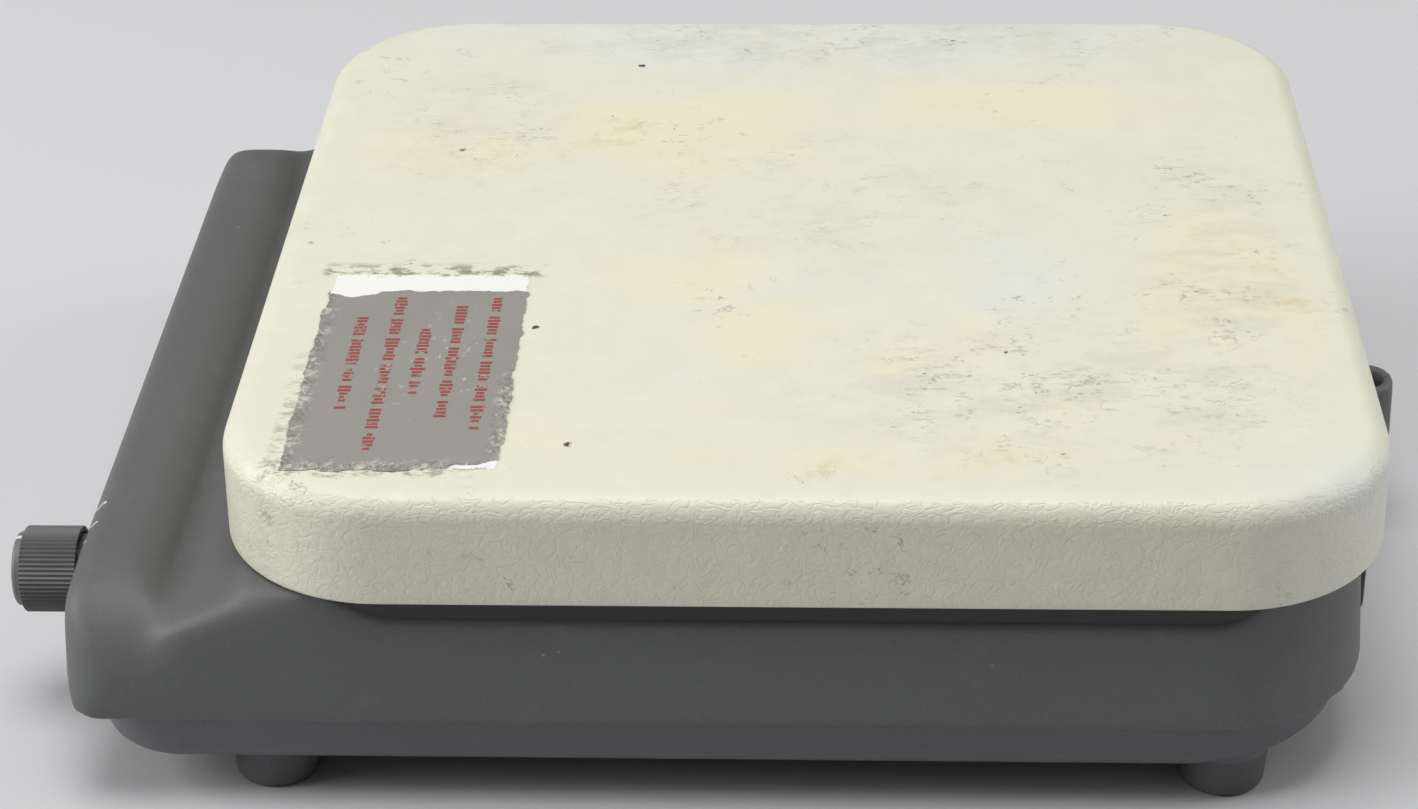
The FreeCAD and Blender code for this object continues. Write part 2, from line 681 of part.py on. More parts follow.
def motor_shaft():
    shaft = post(0, 0, 11.4, 48.5, MOTOR_SHAFT_R)
    return shaft.makeChamfer(0.4, [e for e in shaft.Edges if e.BoundBox.ZMin > 48.4])


def rotor_core():
    core = post(0, 0, STACK_LOW + 0.2, STACK_HIGH - 0.2, ROTOR_R)
    return core.cut(post(0, 0, 0, 60, MOTOR_SHAFT_R))


def cage_rings():
    """The cast rings at both ends of the rotor."""
    rings = []
    for z0, z1 in ((STACK_LOW - 1.0, STACK_LOW + 0.2), (STACK_HIGH - 0.2, STACK_HIGH + 1.0)):
        rings.append(post(0, 0, z0, z1, ROTOR_R - 1.0).cut(post(0, 0, z0 - 1, z1 + 1, 7.4)))
    return group(rings)


def thrust_washers():
    rings = []
    for z0, z1 in ((15.2 - 0.5, 15.2 - 0.1), (31.0, 31.4)):
        rings.append(post(0, 0, z0, z1, 3.6).cut(post(0, 0, z0 - 1, z1 + 1, MOTOR_SHAFT_R)))
    return group(rings)


# ---------------------------------------------------------------- magnet arm

def magnet_carrier():
    hub = post(0, 0, ARM_Z - 2, ARM_Z + 3.5, 6.5)
    arm = slab(-30.5, 30.5, -8.5, 8.5, ARM_Z, ARM_Z + 2.5, 8.4)
    cups = [post(side * MAGNET_X, 0, ARM_Z, ARM_Z + 6, 8.5) for side in (-1, 1)]
    solid = fuse([hub, arm] + cups)
    removed = [post(side * MAGNET_X, 0, ARM_Z + 2.5, ARM_Z + 9, MAGNET_R + 0.05) for side in (-1, 1)]
    removed.append(post(0, 0, 30, 60, MOTOR_SHAFT_R))
    removed.append(bar_y(0, ARM_Z - 0.3, 0, 10, 1.5).common(post(0, 0, 40, 50, 9)))
    return solid.cut(removed)


def drive_magnet(side):
    disc = post(side * MAGNET_X, 0, ARM_Z + 2.5, MAGNET_TOP, MAGNET_R)
    return disc.makeChamfer(0.5, [e for e in disc.Edges if e.BoundBox.ZMin > MAGNET_TOP - 0.01])


def carrier_screw():
    screw = bar_y(0, ARM_Z - 0.3, MOTOR_SHAFT_R, 6.2, 1.5)
    return screw.cut(post(0, 0, 30, 60, MOTOR_SHAFT_R))


# ---------------------------------------------------------------- control board

def board_holes():
    x0, x1, y0, y1 = BOARD
    return [(x, y) for x in (x0 + 4, x1 - 4) for y in (y0 + 4, y1 - 4)]


def control_board():
    x0, x1, y0, y1 = BOARD
    sheet = slab(x0, x1, y0, y1, BOARD_Z, BOARD_Z + BOARD_T, 1.0)
    return sheet.cut([post(x, y, BOARD_Z - 1, BOARD_Z + 3, 1.6) for x, y in board_holes()])


def board_screws():
    screws = []
    for x, y in board_holes():
        top = BOARD_Z + BOARD_T
        head = post(x, y, top, top + 1.9, 2.7).cut(box(x - 3, x + 3, y - 0.35, y + 0.35, top + 1, top + 3))
        screws.append(fuse([head, post(x, y, BOARD_Z - 5, top + 0.1, 1.25)]))
    return group(screws)


def triac():
    top = BOARD_Z + BOARD_T
    case = box(20, 30, -72.6, -68.2, top + 3, top + 12)
    tab = box(20, 30, -68.2, -67.0, top + 3, top + 16)
    legs = [box(x - 0.4, x + 0.4, -70.8, -70.0, top, top + 3.2) for x in (22.4, 25, 27.6)]
    return fuse([case, tab] + legs)


def heat_sink():
    top = BOARD_Z + BOARD_T
    back = box(16, 34, -67.0, -65.0, top, top + 17)
    fins = [box(x, x + 1.2, -65.2, -58.0, top, top + 17) for x in (16, 20.2, 24.4, 28.6, 32.8)]
    return fuse([back] + fins)


def capacitor():
    top = BOARD_Z + BOARD_T
    case = box(38, 56, -80, -71, top, top + 12)
    return case.makeFillet(0.8, case.Edges)


def fuse_link():
    top = BOARD_Z + BOARD_T
    tube = bar_x(-66.5, top + 3.6, 38, 58, 2.5)
    clips = [box(x, x + 4, -69.4, -63.6, top, top + 2.2) for x in (38.5, 53.5)]
    return fuse([tube] + clips)


def suppression_choke():
    top = BOARD_Z + BOARD_T
    ring = Part.makeTorus(5.4, 2.3, vec(46.2, -54.8, top + 2.4))
    return ring.cut(box(30, 60, -70, -40, top - 5, top))


def terminal_block():
    top = BOARD_Z + BOARD_T
    block = box(55, 64.0 - 3.4, -61, -49.5, top, top + 9)
    ports = [bar_x(-57.6 + 4.6 * k, top + 4, 50, 58.5, 1.4) for k in range(2)]
    return block.cut(ports)


# ---------------------------------------------------------------- leads

def lead(points, bend):
    """An insulated wire through the points, straight runs joined by tangent arcs."""
    path = [vec(*p) for p in points]
    edges = []
    start = path[0]
    for k in range(1, len(path) - 1):
        back = path[k - 1] - path[k]
        on = path[k + 1] - path[k]
        back.normalize()
        on.normalize()
        half = back.getAngle(on) / 2
        middle = back + on
        middle.normalize()
        reach = bend / math.tan(half)
        enter = path[k] + back * reach
        leave = path[k] + on * reach
        tip = path[k] + middle * (bend / math.sin(half) - bend)
        edges.append(Part.LineSegment(start, enter).toShape())
        edges.append(Part.Arc(enter, tip, leave).toShape())
        start = leave
    edges.append(Part.LineSegment(start, path[-1]).toShape())
    ring = Part.Wire(Part.makeCircle(LEAD_R, path[0], path[1] - path[0]))
    return Part.Wire(edges).makePipeShell([ring], True, False)


def inlet_leads():
    """From the inlet's tabs to the side of the terminal block."""
    wires = []
    top = BOARD_Z + BOARD_T
    for k in range(2):
        x = INLET_X + (0.5 - k) * -PIN_PITCH
        out = 70.0 + 3.0 * k
        y = -57.6 + 4.6 * (1 - k)
        route = [(x, 66.8, INLET_Z), (x, 40, INLET_Z), (out, 0, 24), (out, y, top + 4), (60.8, y, top + 4)]
        wires.append(lead(route, 4.0))
    return group(wires)


def motor_leads():
    """From the bobbin's side, past the stator, to the rear edge of the board."""
    wires = []
    for k in range(2):
        x = 33.5 + 3.0 * k
        y = 45.0 - 3.0 * k
        route = [(18.1, y, 22), (x, y, 22), (x, -51, 22), (x, -51, BOARD_Z + BOARD_T)]
        wires.append(lead(route, 3.0))
    return group(wires)


def dial_leads():
    """From the potentiometer's tabs to the front edge of the board."""
    wires = []
    for k in (-1, 0, 1):
        x = DIAL_X + 3.2 * k
        end = x - 9
        route = [(x, -108.3, 18.7), (x, -100, 18.7), (end, -90, 23), (end, -82, 23), (end, -82, BOARD_Z + BOARD_T)]
        wires.append(lead(route, 2.0))
    return group(wires)


# ---------------------------------------------------------------- nodes

def all_nodes():
    nodes = {
        "top_plate": top_plate(),
        "plate_spacers": plate_spacers(),
        "plate_screws": plate_screws(),
        "plate_gasket": plate_gasket(),
        "plate_label": plate_label(),
        "upper_housing": upper_housing(),
        "base_tray": base_tray(),
        "foot_screws": foot_screws(),
        "rating_label": rating_label(),
        "rod_clamp_screw": rod_clamp_screw(),
        "knob": knob(),
        "knob_cap": knob_cap(),
        "knob_collet": knob_collet(),
        "control_shaft": control_shaft(),
        "potentiometer": potentiometer(),
        "pot_terminals": pot_terminals(),
        "pot_washer": pot_washer(),
        "pot_nut": pot_nut(),
        "inlet_body": inlet_body(),
        "inlet_pins": inlet_pins(),
        "stator_core": stator_core(),
        "shading_rings": shading_rings(),
        "coil_bobbin": coil_bobbin(),
        "stator_coil": stator_coil(),
        "motor_mount_plate": motor_mount_plate(),
        "motor_screws": motor_screws(),
        "upper_bracket": bearing_bracket(STACK_HIGH + 1.6, 36.0, 33.2, 37.5),
        "lower_bracket": bearing_bracket(STACK_LOW - 1.5, 11.0, 11.0, 14.0),
        "upper_bearing": bearing(33.0, 37.8),
        "lower_bearing": bearing(10.9, 14.2),
        "stator_bolts": stator_bolts(),
        "motor_shaft": motor_shaft(),
        "rotor_core": rotor_core(),
        "cage_rings": cage_rings(),
        "thrust_washers": thrust_washers(),
        "magnet_carrier": magnet_carrier(),
        "carrier_screw": carrier_screw(),
        "control_board": control_board(),
        "board_screws": board_screws(),
        "triac": triac(),
        "heat_sink": heat_sink(),
        "capacitor": capacitor(),
        "fuse_link": fuse_link(),
        "suppression_choke": suppression_choke(),
        "terminal_block": terminal_block(),
        "inlet_leads": inlet_leads(),
        "motor_leads": motor_leads(),
        "dial_leads": dial_leads(),
    }
    for name, (x, y) in foot_places().items():
        nodes[name] = foot(x, y)
    for k, (x, y) in enumerate(corners(GROMMET_X, GROMMET_Y), 1):
        nodes["motor_grommet_%d" % k] = motor_grommet(x, y)
    for name, side in (("magnet_north", -1), ("magnet_south", 1)):
        nodes[name] = drive_magnet(side)
    return nodes


def main():
    os.makedirs("parts", exist_ok=True)
    for name, shape in all_nodes().items():
        placed = shape.copy()
        placed.translate(vec(0, MIDDLE_Y, 0))
        placed.exportStep("parts/%s.step" % name)
        print("%-20s %2d solids %10.1f mm3 %s" % (name, len(placed.Solids), placed.Volume, placed.isValid()))


main()
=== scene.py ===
import json
import math

import bmesh
import bpy
import numpy as np
from mathutils import Matrix, Vector, noise
from mathutils.bvhtree import BVHTree


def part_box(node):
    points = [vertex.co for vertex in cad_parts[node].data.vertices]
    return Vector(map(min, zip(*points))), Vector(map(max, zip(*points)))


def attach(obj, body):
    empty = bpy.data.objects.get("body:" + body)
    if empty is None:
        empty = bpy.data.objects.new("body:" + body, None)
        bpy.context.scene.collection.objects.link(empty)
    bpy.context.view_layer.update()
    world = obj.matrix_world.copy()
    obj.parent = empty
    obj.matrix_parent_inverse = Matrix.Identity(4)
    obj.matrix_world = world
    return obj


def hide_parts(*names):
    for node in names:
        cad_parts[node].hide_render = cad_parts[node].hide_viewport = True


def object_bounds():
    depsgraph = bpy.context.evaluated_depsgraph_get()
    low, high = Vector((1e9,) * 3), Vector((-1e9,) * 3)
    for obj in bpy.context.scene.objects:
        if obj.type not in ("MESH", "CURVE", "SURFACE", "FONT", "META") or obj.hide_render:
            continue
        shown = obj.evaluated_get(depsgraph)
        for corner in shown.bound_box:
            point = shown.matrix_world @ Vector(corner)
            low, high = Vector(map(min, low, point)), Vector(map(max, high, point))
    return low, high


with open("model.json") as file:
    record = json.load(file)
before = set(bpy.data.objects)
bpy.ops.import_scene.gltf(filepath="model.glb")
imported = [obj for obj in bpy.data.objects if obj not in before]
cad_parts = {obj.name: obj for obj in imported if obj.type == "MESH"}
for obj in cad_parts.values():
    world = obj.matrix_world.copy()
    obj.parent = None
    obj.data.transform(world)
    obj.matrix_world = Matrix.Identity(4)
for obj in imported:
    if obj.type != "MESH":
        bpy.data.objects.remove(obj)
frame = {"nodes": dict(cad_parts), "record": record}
CAD_BOX = [list(corner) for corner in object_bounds()]
NODES = frame["nodes"]
MM = 0.001

# The plate's middle: features on the plate and the housing are placed about it.
PLATE_LOW, PLATE_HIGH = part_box("top_plate")
MIDDLE_Y = (PLATE_LOW[1] + PLATE_HIGH[1]) / 2
TOP_Z = PLATE_HIGH[2]
KNOB_LOW, KNOB_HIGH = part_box("knob")
DIAL_X = (KNOB_LOW[0] + KNOB_HIGH[0]) / 2
DIAL_Z = (KNOB_LOW[2] + KNOB_HIGH[2]) / 2

# ---------------------------------------------------------------- camera, light and floor

CAMERA_PLACE = (0.5129, MIDDLE_Y + 0.00445, 0.3198)
CAMERA_YAW = 2.46
CAMERA_PITCH = 30.0
CAMERA_ROLL = -0.92
LENS = 83.6
SENSOR = 36.0
# Each light: place, width across and power, aimed at the object.
LIGHTS = {
    "ceiling": ((-0.1, 0.0, 1.45), 2.2, 6.8),
    "lamp": ((0.22, -0.05, 1.35), 0.7, 8.6),
    "window_left": ((0.14, -1.25, 0.62), 1.0, 12.0),
    "window_right": ((-0.25, 1.3, 0.7), 1.0, 6.5),
}
LIGHT_AIM = (0, 0, 0.03)
ROOM_LIGHT = 0.085
FLOOR_HALF = 3.0
FLOOR_COLOR = (0.62, 0.62, 0.635)


def add(name, mesh):
    """A new object with that mesh, in the scene."""
    piece = bpy.data.objects.new(name, mesh)
    bpy.context.scene.collection.objects.link(piece)
    return piece


def make_camera():
    data = bpy.data.cameras.new("camera")
    data.lens = LENS
    data.sensor_width = SENSOR
    data.clip_start = 0.01
    camera = add("camera", data)
    turn = Matrix.Rotation(math.radians(90 + CAMERA_YAW), 4, "Z")
    tilt = Matrix.Rotation(math.radians(90 - CAMERA_PITCH), 4, "X")
    roll = Matrix.Rotation(math.radians(CAMERA_ROLL), 4, "Z")
    camera.matrix_world = Matrix.Translation(CAMERA_PLACE) @ turn @ tilt @ roll
    bpy.context.scene.camera = camera


def make_light():
    for name, (place, width, power) in LIGHTS.items():
        data = bpy.data.lights.new(name, "AREA")
        data.shape = "DISK"
        data.size = width
        data.energy = power
        lamp = add(name, data)
        lamp.location = place
        lamp.rotation_euler = (Vector(LIGHT_AIM) - Vector(place)).to_track_quat("-Z", "Y").to_euler()
    world = bpy.data.worlds.new("studio")
    bpy.context.scene.world = world
    world.use_nodes = True
    world.node_tree.nodes["Background"].inputs["Color"].default_value = (1.0, 1.0, 1.0, 1)
    world.node_tree.nodes["Background"].inputs["Strength"].default_value = ROOM_LIGHT
    bpy.context.scene.view_settings.view_transform = "Standard"


# ---------------------------------------------------------------- material nodes

PATCH_DEEP = 40


class Finish:
    """A procedural material being put together. Places are in metres in the row frame."""

    def __init__(self, name, rough=0.5, metal=0.0, specular=0.5):
        self.material = bpy.data.materials.new(name)
        self.material.use_nodes = True
        self.tree = self.material.node_tree
        self.shader = self.tree.nodes["Principled BSDF"]
        self.shader.inputs["Roughness"].default_value = rough
        self.shader.inputs["Metallic"].default_value = metal
        self.shader.inputs["Specular IOR Level"].default_value = specular
        self.place = self.tree.nodes.new("ShaderNodeTexCoord").outputs["Object"]

    def link(self, value, socket):
        if isinstance(value, bpy.types.NodeSocket):
            self.tree.links.new(value, socket)
        elif isinstance(value, tuple) and len(value) == 3 and socket.type == "RGBA":
            socket.default_value = (*value, 1)
        else:
            socket.default_value = value

    def scaled(self, scale, shift):
        node = self.tree.nodes.new("ShaderNodeMapping")
        self.tree.links.new(self.place, node.inputs["Vector"])
        node.inputs["Scale"].default_value = scale
        node.inputs["Location"].default_value = shift
        return node.outputs[0]

    def noise(self, grain, stretch=(1, 1, 1), detail=4.0, rough=0.55, shift=(0, 0, 0), twist=0.0):
        """Smooth noise, 0 to 1, with features of about grain millimetres."""
        node = self.tree.nodes.new("ShaderNodeTexNoise")
        self.tree.links.new(self.scaled(stretch, shift), node.inputs["Vector"])
        node.inputs["Scale"].default_value = 1 / (grain * MM)
        node.inputs["Detail"].default_value = detail
        node.inputs["Roughness"].default_value = rough
        node.inputs["Distortion"].default_value = twist
        return node.outputs[0]

    def cells(self, grain, stretch=(1, 1, 1), shift=(0, 0, 0)):
        """Distance from scattered points, and a random grey for each, about grain millimetres apart."""
        node = self.tree.nodes.new("ShaderNodeTexVoronoi")
        self.tree.links.new(self.scaled(stretch, shift), node.inputs["Vector"])
        node.inputs["Scale"].default_value = 1 / (grain * MM)
        split = self.tree.nodes.new("ShaderNodeSeparateColor")
        self.tree.links.new(node.outputs["Color"], split.inputs[0])
        return node.outputs["Distance"], split.outputs[0]

    def step(self, value, low, high):
        """0 where value is at low, 1 where it is at high, and smooth between; low may be the larger."""
        node = self.tree.nodes.new("ShaderNodeMapRange")
        node.interpolation_type = "SMOOTHSTEP"
        self.link(value, node.inputs[0])
        span = (low, high, 0.0, 1.0) if low <= high else (high, low, 1.0, 0.0)
        for socket, number in zip(node.inputs[1:5], span):
            socket.default_value = number
        return node.outputs[0]

    def math(self, kind, a, b=0.0):
        node = self.tree.nodes.new("ShaderNodeMath")
        node.operation = kind
        self.link(a, node.inputs[0])
        self.link(b, node.inputs[1])
        return node.outputs[0]

    def times(self, *values):
        result = values[0]
        for value in values[1:]:
            result = self.math("MULTIPLY", result, value)
        return result

    def most(self, *values):
        result = values[0]
        for value in values[1:]:
            result = self.math("MAXIMUM", result, value)
        return result

    def mix(self, factor, a, b):
        node = self.tree.nodes.new("ShaderNodeMix")
        node.data_type = "RGBA"
        self.link(factor, node.inputs[0])
        self.link(a, node.inputs[6])
        self.link(b, node.inputs[7])
        return node.outputs[2]

    def axis(self, letter):
        node = self.tree.nodes.new("ShaderNodeSeparateXYZ")
        self.tree.links.new(self.place, node.inputs[0])
        return node.outputs["XYZ".index(letter)]

    def past(self, letter, low, high):
        """0 at low and 1 at high along an axis, in millimetres from the middle of the plate's top."""
        origin = {"X": 0.0, "Y": MIDDLE_Y, "Z": TOP_Z}[letter]
        return self.step(self.axis(letter), origin + low * MM, origin + high * MM)

    def off(self, value, middle):
        """How far value is from middle."""
        return self.math("ABSOLUTE", self.math("SUBTRACT", value, middle))

    def patch(self, x, y, reach_x, reach_y, solid=0.6):
        """1 inside an oval's solid share and 0 outside it, in millimetres from the plate's middle."""
        scale = [1 / (r * MM) for r in (reach_x, reach_y, PATCH_DEEP)]
        middle = (x * MM, y * MM + MIDDLE_Y, TOP_Z)
        shift = [-m * s for m, s in zip(middle, scale)]
        node = self.tree.nodes.new("ShaderNodeVectorMath")
        node.operation = "LENGTH"
        self.tree.links.new(self.scaled(scale, shift), node.inputs[0])
        return self.step(node.outputs["Value"], 1.0, solid)

    def patches(self, *ovals):
        return self.most(*(self.patch(*oval) for oval in ovals))

    def color(self, value):
        self.link(value, self.shader.inputs["Base Color"])

    def rough(self, value):
        self.link(value, self.shader.inputs["Roughness"])

    def relief(self, *layers):
        """Bumps: each layer is (height 0 to 1, depth in millimetres)."""
        normal = None
        for height, depth in layers:
            node = self.tree.nodes.new("ShaderNodeBump")
            node.inputs["Strength"].default_value = 1.0
            node.inputs["Distance"].default_value = depth * MM
            self.link(height, node.inputs["Height"])
            if normal is not None:
                self.tree.links.new(normal, node.inputs["Normal"])
            normal = node.outputs[0]
        self.tree.links.new(normal, self.shader.inputs["Normal"])


def shade(color, factor):
    return tuple(min(1.0, c * factor) for c in color)


def paper_floor():
    f = Finish("paper", 0.9)
    f.color(f.mix(f.noise(260, detail=2.0), shade(FLOOR_COLOR, 0.97), shade(FLOOR_COLOR, 1.03)))
    f.relief((f.noise(0.6), 0.02))
    return f.material


def enamel():
    """Off-white enamel: orange peel, yellowed stains, grey scuffs, hair lines and a few dark specks."""
    f = Finish("enamel", 0.4, specular=0.45)
    warm = (0.775, 0.765, 0.622)
    cool = (0.755, 0.762, 0.695)
    cream = (0.78, 0.70, 0.43)
    tan = (0.58, 0.47, 0.28)
    olive = (0.33, 0.33, 0.265)
    dark = (0.07, 0.065, 0.05)
    cloud = f.noise(46, detail=5.0, rough=0.6)
    fine = f.noise(7, detail=6.0, rough=0.65)
    cooler = f.patches((-84, 0, 30, 110, 0.4), (14, 22, 34, 40, 0.3),
                       (72, 80, 30, 26, 0.4), (60, -30, 22, 22, 0.3))
    base = f.mix(f.times(cooler, f.step(cloud, 0.30, 0.62)), warm, cool)
    base = f.mix(f.step(fine, 0.35, 0.65), shade_mix(f, base, 0.965), base)
    # Pale yellow stains, in soft bands over the far half, the near edge and the rear.
    bands = f.patches((-32, -30, 24, 62), (-50, 24, 13, 60), (70, 12, 16, 74),
                      (34, 70, 50, 18), (40, 8, 18, 30), (8, -22, 26, 22))
    stain = f.times(bands, f.step(cloud, 0.36, 0.60))
    base = f.mix(f.times(stain, 0.36), base, cream)
    # Tan marks where stains dried.
    dried = f.times(f.patches((74, 26, 16, 66), (34, 76, 46, 14), (-38, -44, 14, 30)),
                    f.step(fine, 0.50, 0.66), f.step(cloud, 0.42, 0.58))
    base = f.mix(f.times(dried, 0.42), base, tan)
    # Grey scuffs in short strokes along Y, thickest on the near rear quarter and along the far edge.
    worn = f.most(
        f.patches((-80, 6, 16, 84, 0.3), (58, 40, 34, 54, 0.3), (14, 70, 60, 20, 0.3)),
        f.times(f.patch(-10, 4, 40, 50, 0.3), 0.5),
        f.times(f.patch(-40, -60, 40, 24, 0.3), 0.6),
    )
    group = f.step(f.noise(15, detail=4.0, rough=0.65, shift=(4, 2, 0)), 0.44, 0.60)
    stroke = f.step(f.noise(1.5, stretch=(1.3, 0.45, 1), detail=6.0, rough=0.75), 0.52, 0.63)
    scuff = f.times(stroke, worn, group)
    base = f.mix(f.times(scuff, 0.50), base, olive)
    smear = f.noise(9, stretch=(1.2, 0.6, 1), detail=6.0, rough=0.7, shift=(8, 3, 1))
    smear = f.times(worn, f.step(smear, 0.44, 0.62))
    base = f.mix(f.times(smear, 0.16), base, olive)
    hair = f.off(f.noise(6.5, stretch=(1.2, 0.7, 1), detail=5.0, rough=0.6), 0.5)
    hair = f.times(f.step(hair, 0.013, 0.004),
                   f.step(f.noise(3.0, detail=3.0, shift=(7, 1, 0)), 0.50, 0.58),
                   f.most(worn, f.step(cloud, 0.50, 0.60)), group)
    base = f.mix(f.times(hair, 0.65), base, shade(olive, 0.75))
    # Dark specks, few and small, with ragged edges.
    near, pick = f.cells(7.5, shift=(0.3, 0.7, 0))
    ragged = f.math("ADD", near, f.times(f.math("SUBTRACT", f.noise(0.8, detail=3.0), 0.5), 0.22))
    speck = f.times(f.step(ragged, 0.10, 0.05), f.step(pick, 0.90, 0.92))
    near, pick = f.cells(2.2, stretch=(1.4, 0.8, 1))
    ragged = f.math("ADD", near, f.times(f.math("SUBTRACT", f.noise(0.5, detail=3.0), 0.5), 0.5))
    dust = f.times(f.step(ragged, 0.20, 0.08), f.step(pick, 0.84, 0.88), worn, group, 0.8)
    # Grime left by the label's torn edges.
    edge_far = f.times(f.past("X", 13.5, 16.5), f.past("X", 20, 18),
                       f.past("Y", -83, -81), f.past("Y", -43, -46))
    edge_near = f.times(f.past("X", 79, 81), f.past("X", 85.5, 84),
                        f.past("Y", -85, -82), f.past("Y", -48, -54))
    edge_left = f.times(f.past("Y", -83.5, -82), f.past("Y", -79.5, -80.5),
                        f.past("X", 40, 60), f.past("X", 86, 84))
    grime = f.times(f.most(edge_far, f.times(edge_near, 0.8), f.times(edge_left, 0.6)),
                    f.step(f.noise(2.6, stretch=(1.2, 0.6, 1), detail=6.0, rough=0.75), 0.47, 0.58))
    marks = f.times(f.most(speck, dust), f.past("Z", -3, -1))
    base = f.mix(f.times(grime, 0.75), base, (0.17, 0.155, 0.12))
    f.color(f.mix(marks, base, dark))
    f.rough(f.mix(f.most(scuff, stain), (0.38, 0.38, 0.38), (0.62, 0.62, 0.62)))
    wall = f.past("Z", -1.0, -3.5)
    lip = f.times(f.past("Z", -0.3, -1.0), f.past("Z", -7.5, -3.0))
    worm = f.step(f.off(f.noise(2.3, stretch=(1.0, 0.8, 1.4), detail=2.0, twist=0.6), 0.5), 0.0, 0.07)
    worm_fine = f.off(f.noise(2.2, detail=2.0, twist=0.5, shift=(3, 3, 3)), 0.5)
    f.relief((f.times(worm, lip), 0.05), (f.times(f.step(worm_fine, 0.0, 0.09), wall), 0.05),
             (f.noise(1.6, detail=3.0), 0.035), (f.noise(14, detail=2.0), 0.10),
             (f.most(speck, scuff), -0.02))
    return f.material


def shade_mix(f, color, factor):
    """A node colour a little darker."""
    return f.mix(1 - factor, color, (0.0, 0.0, 0.0))


def powder_coat(name, base):
    """Matte dark grey paint with a fine grain, faint wear and a few pale nicks."""
    f = Finish(name, 0.5, specular=0.42)
    wide = f.noise(60, detail=4.0)
    grain = f.noise(0.42, detail=2.0, rough=0.6)
    color = f.mix(wide, shade(base, 0.94), shade(base, 1.07))
    color = f.mix(f.times(f.step(grain, 0.45, 0.75), 0.30), color, shade(base, 1.5))
    rub = f.times(f.step(f.noise(11, detail=5.0, rough=0.65, shift=(1, 5, 2)), 0.56, 0.74), 0.10)
    color = f.mix(rub, color, shade(base, 2.2))
    scratch = f.times(
        f.step(f.noise(0.9, stretch=(0.5, 0.12, 1.0), detail=3.0, shift=(9, 3, 1)), 0.74, 0.77),
        f.step(f.noise(24, detail=1.0, shift=(2, 8, 5)), 0.58, 0.66))
    near, pick = f.cells(6.0)
    nick = f.times(f.step(near, 0.07, 0.03), f.step(pick, 0.88, 0.90))
    color = f.mix(f.times(f.most(scratch, nick), 0.5), color, (0.42, 0.42, 0.40))
    f.color(color)
    f.rough(f.mix(f.noise(5, detail=4.0), (0.46, 0.46, 0.46), (0.58, 0.58, 0.58)))
    f.relief((grain, 0.035), (f.noise(2.6, detail=2.0), 0.03), (f.most(scratch, nick), -0.03))
    return f.material


def moulded(name, base, rough=0.5, grain=0.8, depth=0.02, metal=0.0, specular=0.5, wear=0.0):
    """A moulded, cast, turned or plated finish with a little uneven tone and relief."""
    f = Finish(name, rough, metal, specular)
    tone = f.noise(9, detail=5.0, rough=0.6)
    color = f.mix(tone, shade(base, 0.92), shade(base, 1.08))
    if wear:
        marks = f.step(f.noise(2.2, detail=5.0, rough=0.7, shift=(3, 1, 7)), 0.60, 0.72)
        color = f.mix(f.times(marks, wear), color, shade(base, 0.5))
    f.color(color)
    f.rough(f.mix(f.noise(3.0, detail=3.0), (rough - 0.06,) * 3, (rough + 0.08,) * 3))
    f.relief((f.noise(grain, detail=3.0), depth))
    return f.material


def brushed(name, base, rough, along):
    """Metal with fine drawing lines along one axis."""
    f = Finish(name, rough, 1.0)
    stretch = tuple(0.06 if letter == along else 1.0 for letter in "XYZ")
    lines = f.noise(0.5, stretch=stretch, detail=3.0)
    f.color(f.mix(lines, shade(base, 0.86), shade(base, 1.1)))
    f.rough(f.mix(f.noise(6, detail=4.0), (rough - 0.06,) * 3, (rough + 0.10,) * 3))
    f.relief((lines, 0.01))
    return f.material


def laminated(name, base):
    """A stack of thin steel sheets, 0.5 mm each."""
    f = Finish(name, 0.48, 0.85)
    sheets = f.math("FRACT", f.math("MULTIPLY", f.axis("Z"), 1 / (0.5 * MM)))
    edge = f.step(sheets, 0.16, 0.04)
    rust = f.step(f.noise(5, detail=5.0), 0.54, 0.70)
    rusty = f.mix(f.times(rust, 0.3), base, (0.22, 0.13, 0.08))
    f.color(f.mix(f.times(edge, 0.6), rusty, shade(base, 0.35)))
    f.relief((edge, -0.06))
    return f.material


def winding(name, base):
    """Turns of enamelled wire, 0.32 mm apart, along the X axis, with painted shade between turns and a
    painted highlight on each crown.
    """
    f = Finish(name, 0.3, 0.0, 0.6)
    turns = f.math("FRACT", f.math("MULTIPLY", f.axis("X"), 1 / (0.32 * MM)))
    crown = f.times(f.step(turns, 0.0, 0.5), f.step(turns, 1.0, 0.5))
    # Painted shade and highlight: the colour falls to 0.35 of the base in the grooves between turns and
    # rises to 1.15 of it on each crown.
    f.color(f.mix(crown, shade(base, 0.35), shade(base, 1.15)))
    f.relief((crown, 0.08))
    return f.material


def circuit_board(name, base):
    """Green mask over copper tracks."""
    f = Finish(name, 0.35)
    across = f.step(f.math("FRACT", f.math("MULTIPLY", f.axis("X"), 1 / (5.08 * MM))), 0.70, 0.74)
    along = f.step(f.math("FRACT", f.math("MULTIPLY", f.axis("Y"), 1 / (7.62 * MM))), 0.78, 0.82)
    track = f.times(f.most(across, along), f.step(f.noise(7, detail=0.0), 0.50, 0.52))
    f.color(f.mix(track, base, shade(base, 1.9)))
    f.relief((track, 0.03), (f.noise(0.8), 0.01))
    return f.material


